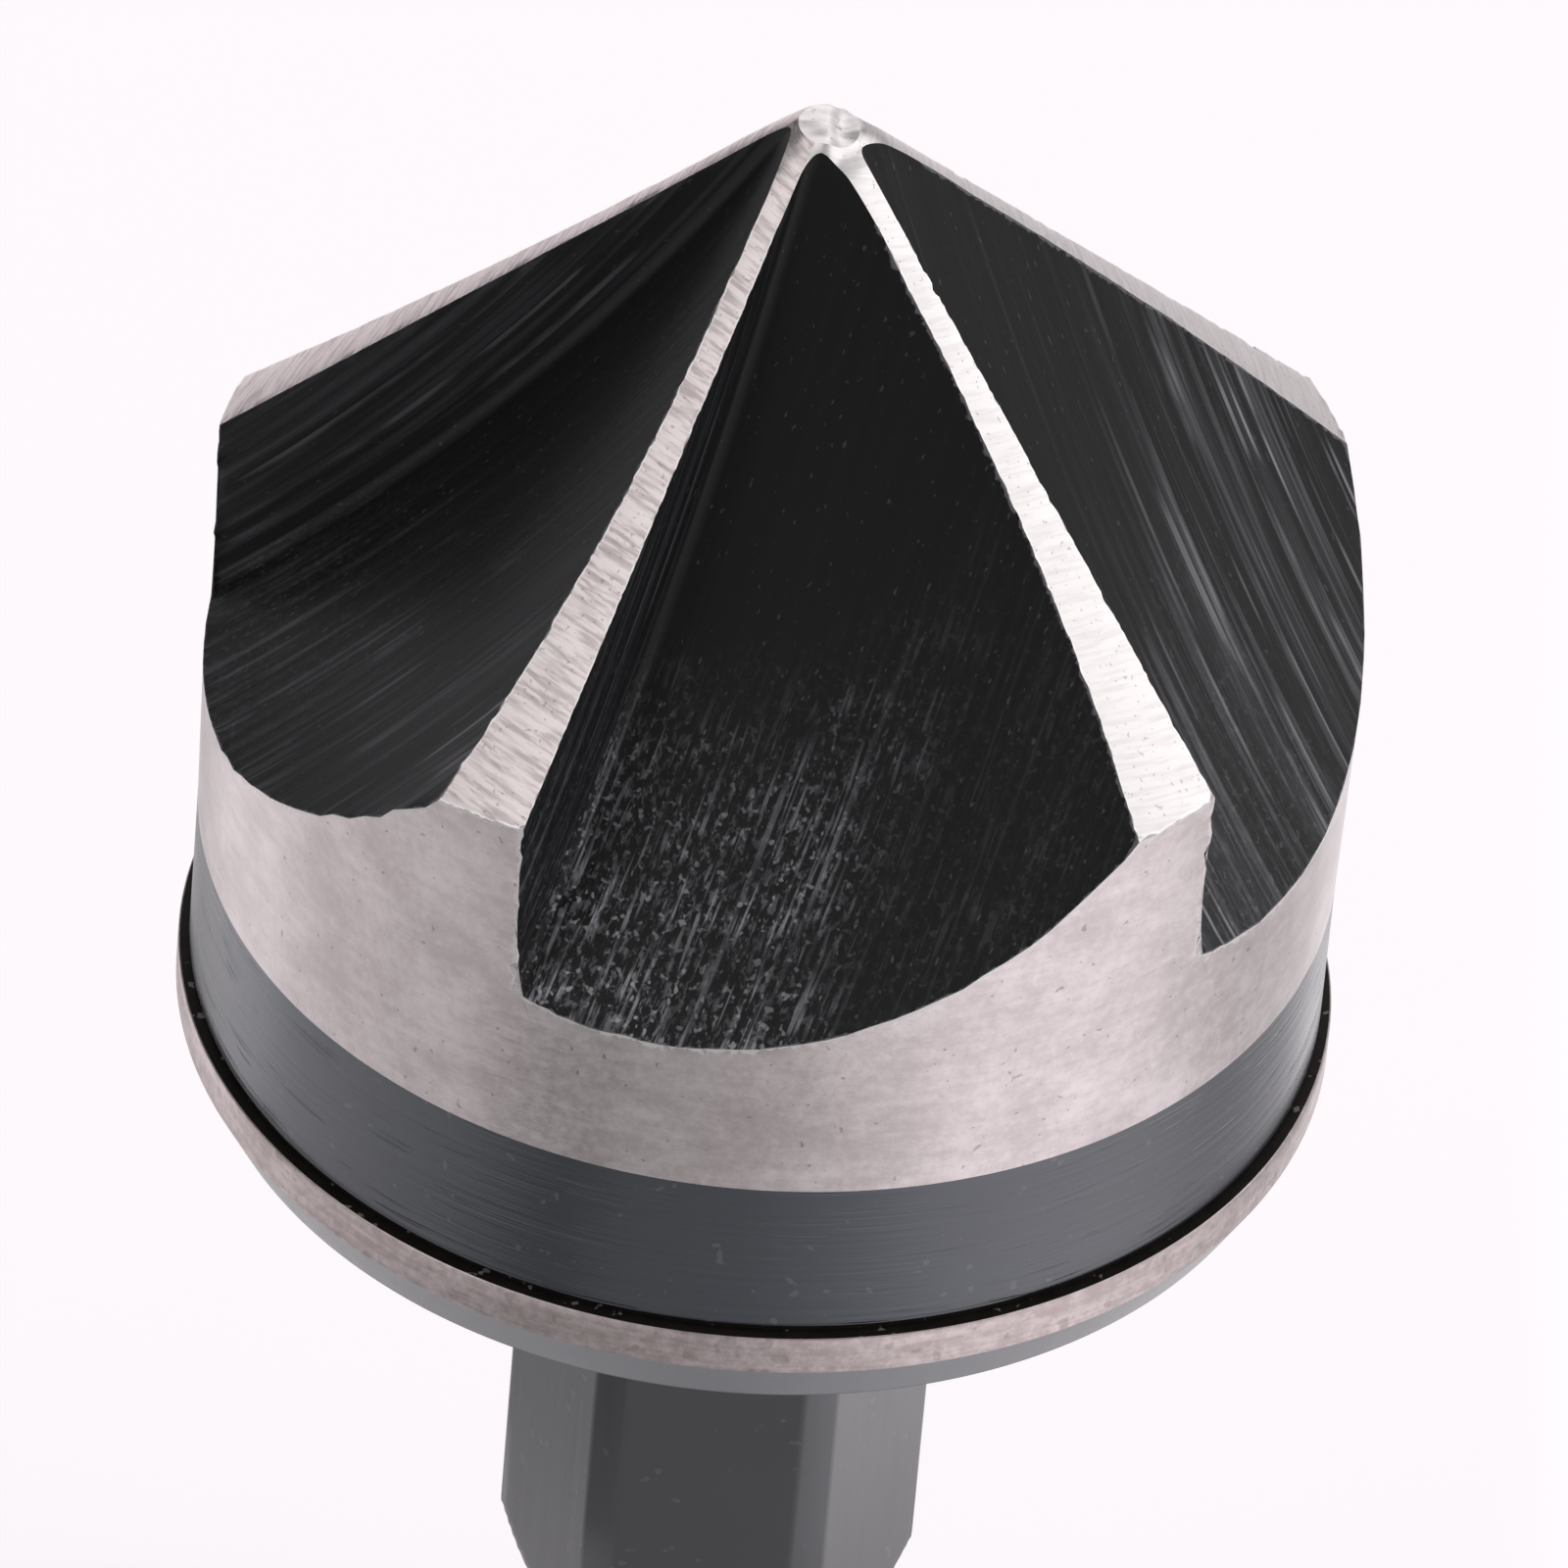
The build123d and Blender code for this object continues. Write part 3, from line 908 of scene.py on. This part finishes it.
# A worn strip along the land edges, painted bright as a highlight
worn_land_edge_highlight = land.use(edge_wear_and_highlight, land.mm, Edge_mm=land.edge, Width=0.035, Ragged=0.8, Per_mm=6.0)
nicked = land.use(edge_wear_and_highlight, land.mm, Edge_mm=total(land.edge, plus=0.02), Width=0.025,
                  Ragged=1.6, Per_mm=3.5)
near_point = ramp(axis(land.mm, 2), Z_CONE + SCORES_BELOW_CONE_TOP, Z_TIP)
coarse = ramp(axis(marks, 0), 0.5 * SECTOR_SHIFT, 3.5 * SECTOR_SHIFT, 0.2, 1.0)
tone = blend(ramp(grain, 0.36, 0.60), blend(coarse, *LAND_LOW), blend(coarse, *LAND_HIGH))
tone = blend(times(ramp(wheel, 0.42, 0.66), 0.40), tone, WHEEL_TONE)
tone = blend(times(worn_land_edge_highlight, 0.8), tone, WORN_EDGE_HIGHLIGHT_TONE)
dark = times(score, coarse, total((near_point, 0.30), plus=0.40))
dark = most(dark, times(pits, 0.35), times(nicked, 0.75), clamp=True)
land.set(Base_Color=blend(dark, tone, SCORE_TONE), Roughness=total((grain, 0.12), plus=0.28))
land.bump(total((grain, 0.6), (wheel, 0.5), (dark, -0.6)), depth_mm=0.007)

# %% [markdown]
# ## The ground cylinder
# The cylinder was ground while it turned, so its marks run round it. It is duller than the lands:
# a warm grey with a fine mottle, small pits, and a thin bright lip where the flutes break out: a
# burred edge with a painted highlight, white and less metallic so that the lamps light it.

# %% Ground round
GROUND_TONES = (0.47, 0.427, 0.424), (0.65, 0.606, 0.606)
PIT_TONE, LIP_HIGHLIGHT_TONE = (0.16, 0.14, 0.135), (0.90, 0.87, 0.86)
ground = Finish("ground cylinder")
mm = ground.mm
rounds = ground.use(streaks, mm, Stretch=(0.9, 0.9, 5.0), Detail=3.0)
fleck = noise(mm, 5.0, 3.0, 0.7)
cloud = noise(mm, 0.7, 2.0, 0.6)
pits = ground.use(specks, mm, Per_mm=6.5, Rarity=0.72, Softness=0.05)
# The lip: the burred edge painted as a bright highlight
lip_highlight = ground.use(edge_wear_and_highlight, mm, Edge_mm=ground.edge, Width=0.075, Ragged=1.5, Per_mm=5.0)
mixed = total((rounds, 0.26), (fleck, 0.42), (cloud, 0.40))
tone = blend(ramp(mixed, 0.38, 0.74), *GROUND_TONES)
tone = blend(times(pits, 0.5), tone, PIT_TONE)
ground.set(Base_Color=blend(times(lip_highlight, 0.85), tone, LIP_HIGHLIGHT_TONE),
           Metallic=total((lip_highlight, -0.65), plus=1.0), Roughness=total((fleck, 0.20), plus=0.24))
ground.bump(total((rounds, 0.6), (fleck, 0.4)), depth_mm=0.008)

# %% [markdown]
# ## The blackened band, the ledge, the rim and the shank
# Fine lines run round the blackened band; the ledge under it is a deep black line with a few
# burrs on it painted as bright glints; the collar's rim is ground dull; the shank is drawn bar. This
# oxide is denser and smoother than the flutes', so it mirrors more towards its edges.

# %% Turned and blackened
BAND_TONES = (0.0045, 0.0065, 0.0125), (0.0120, 0.0160, 0.0255)
DASH_TONE, GRAIN_TONE, BAND_TINT = (0.002, 0.002, 0.004), (0.35, 0.35, 0.37), (0.88, 0.935, 1.0, 1)
band = Finish("turned and blackened", IOR=1.95, Specular_Tint=BAND_TINT)
mm = band.mm
lathe = band.use(streaks, mm, Stretch=(0.12, 0.12, 9.0), Detail=2.0)
dash = band.use(scratches, mm, Stretch=(0.4, 0.4, 10.0), Break_up=(0.7, 0.7, 1.5), Rarity=0.56,
                Softness=0.12)
cloud = noise(mm, 0.5)
loose = band.use(specks, mm, Per_mm=4.0, Rarity=0.70, Softness=0.05)
tone = blend(ramp(lathe, 0.34, 0.66), *BAND_TONES)
tone = blend(times(dash, 0.4), tone, DASH_TONE)
band.set(Base_Color=blend(times(loose, 0.20), tone, GRAIN_TONE),
         Roughness=total((cloud, 0.14), (dash, 0.10), plus=0.20))
band.bump(total(lathe, (dash, -0.5)), depth_mm=0.009)

# %% The ledge under the band
LEDGE_TONES, BURR_GLINT_TONE = ((0.004, 0.0035, 0.003), (0.024, 0.019, 0.017)), (0.55, 0.52, 0.50)
ledge = Finish("blackened ledge", Roughness=0.55, IOR=1.4, Specular_IOR_Level=0.20)
mm = ledge.mm
# Painted glints: a few bright specks that stand for burrs catching the light
burr_glints = ledge.use(specks, mm, Per_mm=5.0, Rarity=0.68, Softness=0.05)
dirt = noise(mm, 3.0, 3.0)
ledge.set(Base_Color=blend(times(burr_glints, 0.34), blend(dirt, *LEDGE_TONES), BURR_GLINT_TONE))
ledge.bump(dirt, depth_mm=0.02)

# %% The ground rim of the collar
RIM_TONES, CHIP_TONE = ((0.40, 0.345, 0.34), (0.56, 0.50, 0.495)), (0.14, 0.125, 0.12)
rim = Finish("ground rim", Roughness=0.38, Metallic=1.0)
mm = rim.mm
rounds = rim.use(streaks, mm, Stretch=(0.6, 0.6, 8.0), Detail=2.0)
fleck = noise(mm, 4.5, 3.0, 0.7)
chips = rim.use(specks, mm, Per_mm=3.0, Rarity=0.66, Softness=0.05)
mixed = total((rounds, 0.45), (fleck, 0.55))
tone = blend(ramp(mixed, 0.38, 0.66), *RIM_TONES)
rim.set(Base_Color=blend(times(chips, 0.28), tone, CHIP_TONE))
rim.bump(mixed, depth_mm=0.010)

# %% Drawn bar, blackened
BAR_TONES, BAR_TINT = ((0.013, 0.0135, 0.0185), (0.021, 0.0215, 0.028)), (0.94, 0.97, 1.0, 1)
COLLAR_TONE = (0.255, 0.260, 0.285)
oxide = Finish("blackened bar", IOR=1.95, Specular_Tint=BAR_TINT)
mm = oxide.mm
drawn = oxide.use(streaks, mm, Stretch=(3.0, 3.0, 0.2), Detail=2.0)
cloud = noise(mm, 0.45, 3.0)
loose = oxide.use(specks, mm, Per_mm=3.0, Rarity=0.70, Softness=0.05)
tone = blend(ramp(cloud, 0.3, 0.7), *BAR_TONES)
on_collar = ramp(axis(mm, 2), SHANK_LENGTH + 0.01, SHANK_LENGTH + 0.05)
tone = blend(on_collar, tone, COLLAR_TONE)
oxide.set(Base_Color=blend(times(loose, 0.15), tone, GRAIN_TONE),
          Roughness=total((drawn, 0.10), plus=0.24))
oxide.bump(total((drawn, 0.3), (cloud, 0.6)), depth_mm=0.010)

for finish in (milled, land, ground, band, rim, oxide, ledge):
    bit.data.materials.append(finish.material)
print("finishes:", [m.name for m in bit.data.materials])

# %% [markdown]
# ## Camera
# A long lens from well above, leaning a little to one side.

# %% The camera
CAMERA_BACK, CAMERA_UP = 234.82 * MM, (35.75 + 185.45) * MM
PAN, PITCH, ROLL = radians(0.051), 0.6831349, 0.089001
look = Vector((sin(PAN) * cos(PITCH), cos(PAN) * cos(PITCH), -sin(PITCH)))
level = Vector((cos(PAN), -sin(PAN), 0))
upright = level.cross(look)
camera_right = cos(ROLL) * level + sin(ROLL) * upright
camera_up = -sin(ROLL) * level + cos(ROLL) * upright
camera_data = bpy.data.cameras.new("camera")
camera_data.lens = 423.56
camera_data.sensor_width = 36
camera = bpy.data.objects.new("camera", camera_data)
place = Matrix((camera_right, camera_up, -look)).transposed().to_4x4()
place.translation = Vector((0, -CAMERA_BACK, CAMERA_UP))
camera.matrix_world = place
bpy.context.scene.collection.objects.link(camera)
bpy.context.scene.camera = camera
bpy.context.scene.view_settings.view_transform = "Standard"

# %% [markdown]
# ## Studio
# Two wide soft boxes over a dim room, so the flutes stay black and the lands catch the boxes. The
# floor is white paper, which glows only where the camera or a reflection looks at it. The glow is
# stronger to the right and behind, with a darker strip on either side, so the turned steel shows
# broad bands. To the left the paper ends on a dark table with one bright patch far away, which is
# the left flute's sheen.

# %% The room: a gradient of light on the world
ROOM_COLOUR = (1, 0.99, 1, 1)
world = bpy.data.worlds.new("studio")
bpy.context.scene.world = world
world.use_nodes = True
w = world.node_tree
direction = new_node(w, "TexCoord").outputs["Generated"]
towards = [axis(direction, number) for number in range(3)]
side_light = ramp(towards[0], -0.75, 0.9, 0.18, 0.75)
climb = ramp(towards[2], 0.05, 0.40, 0.42, 1.0)
back_light = times(ramp(towards[1], 0.45, 0.75, 0.0, 0.95), ramp(towards[2], 0.30, 0.55))
feed_all(w.nodes["Background"], Color=ROOM_COLOUR,
         Strength=total((side_light, climb), back_light))

# %% The floor: paper that glows, in metres from the bit
FLOOR_HALF, FAR_GLOW, GLOW_COLOUR = 2, 2.0, (1, 0.935, 0.970, 1)
PAPER_TONE, TABLE_TONE = (0.55, 0.545, 0.55), (0.02, 0.02, 0.02)
corners = [(-FLOOR_HALF, -FLOOR_HALF, 0), (FLOOR_HALF, -FLOOR_HALF, 0),
           (FLOOR_HALF, FLOOR_HALF, 0), (-FLOOR_HALF, FLOOR_HALF, 0)]
floor_mesh = bpy.data.meshes.new("floor")
floor_mesh.from_pydata(corners, [], [(0, 1, 2, 3)])
floor = bpy.data.objects.new("floor", floor_mesh)
bpy.context.scene.collection.objects.link(floor)
paper = bpy.data.materials.new("white paper")
paper.use_nodes = True
t = paper.node_tree
spot = new_node(t, "TexCoord").outputs["Object"]
spot_x, spot_y = axis(spot, 0), axis(spot, 1)


def field(low_x, high_x, strength, low_y=None, high_y=None):
    """A field of glow: a step up to its strength along x, and where given a step along y."""
    step = ramp(spot_x, low_x, high_x, 0.0, strength)
    return step if low_y is None else times(step, ramp(spot_y, low_y, high_y))


to_right = most(field(-0.002, 0.034, 0.66, 0.004, -0.012), field(0.014, 0.026, 0.85))
to_left = total(field(-0.010, -0.030, 0.12, 0.004, -0.012), field(-0.022, -0.044, 0.20),
                field(-0.028, -0.038, 0.20, 0.002, 0.016))
behind = ramp(spot_y, -0.018, 0.016, 0.16, 0.63)
dark_left = times(field(-0.0165, -0.020, 0.42), field(-0.030, -0.026, 1.0))
dark = total(field(0.024, 0.033, 1.10, -0.016, 0.012), dark_left)
on_paper = field(-0.075, -0.055, 1.0)
lit = math("SUBTRACT", total(to_right, to_left, behind), dark)
distance = new_node(t, "VectorMath", spot, operation="LENGTH").outputs["Value"]
far_patch = times(ramp(distance, 0.19, 0.25), ramp(distance, 0.44, 0.29))
table = total((far_patch, FAR_GLOW), ramp(spot_y, 0.13, 0.03, 0.10, 0.50))
lit = total((lit, on_paper), (table, math("SUBTRACT", 1.0, on_paper)))

rays = new_node(t, "LightPath").outputs
seen = most(*(rays["Is %s Ray" % kind] for kind in ("Camera", "Glossy", "Transmission")))
base, tone = t.nodes["Principled BSDF"], blend(on_paper, TABLE_TONE, PAPER_TONE)
feed_all(base, Roughness=1.0, Specular_IOR_Level=0.0, Base_Color=tone)
glow = new_node(t, "Emission", GLOW_COLOUR, times(seen, lit))
both = new_node(t, "AddShader", base.outputs[0], glow.outputs[0])
feed(t.nodes["Material Output"].inputs["Surface"], both.outputs[0])
floor_mesh.materials.append(paper)

# %% The soft boxes
def soft_box(name, place, size, radiance, aim=(0, 0, 0.035)):
    """A rectangular lamp of an even brightness: its power is brightness times area times pi."""
    data = bpy.data.lights.new(name, "AREA")
    data.shape = "RECTANGLE"
    data.size, data.size_y = size
    data.energy = radiance * size[0] * size[1] * pi
    lamp = bpy.data.objects.new(name, data)
    lamp.location = place
    lamp.rotation_euler = (Vector(aim) - Vector(place)).to_track_quat("-Z", "Y").to_euler()
    bpy.context.scene.collection.objects.link(lamp)


soft_box("right box", (0.50, 0.02, 0.44), (0.60, 0.50), 0.72)
soft_box("left box", (-0.42, -0.18, 0.56), (0.45, 0.45), 1.06)
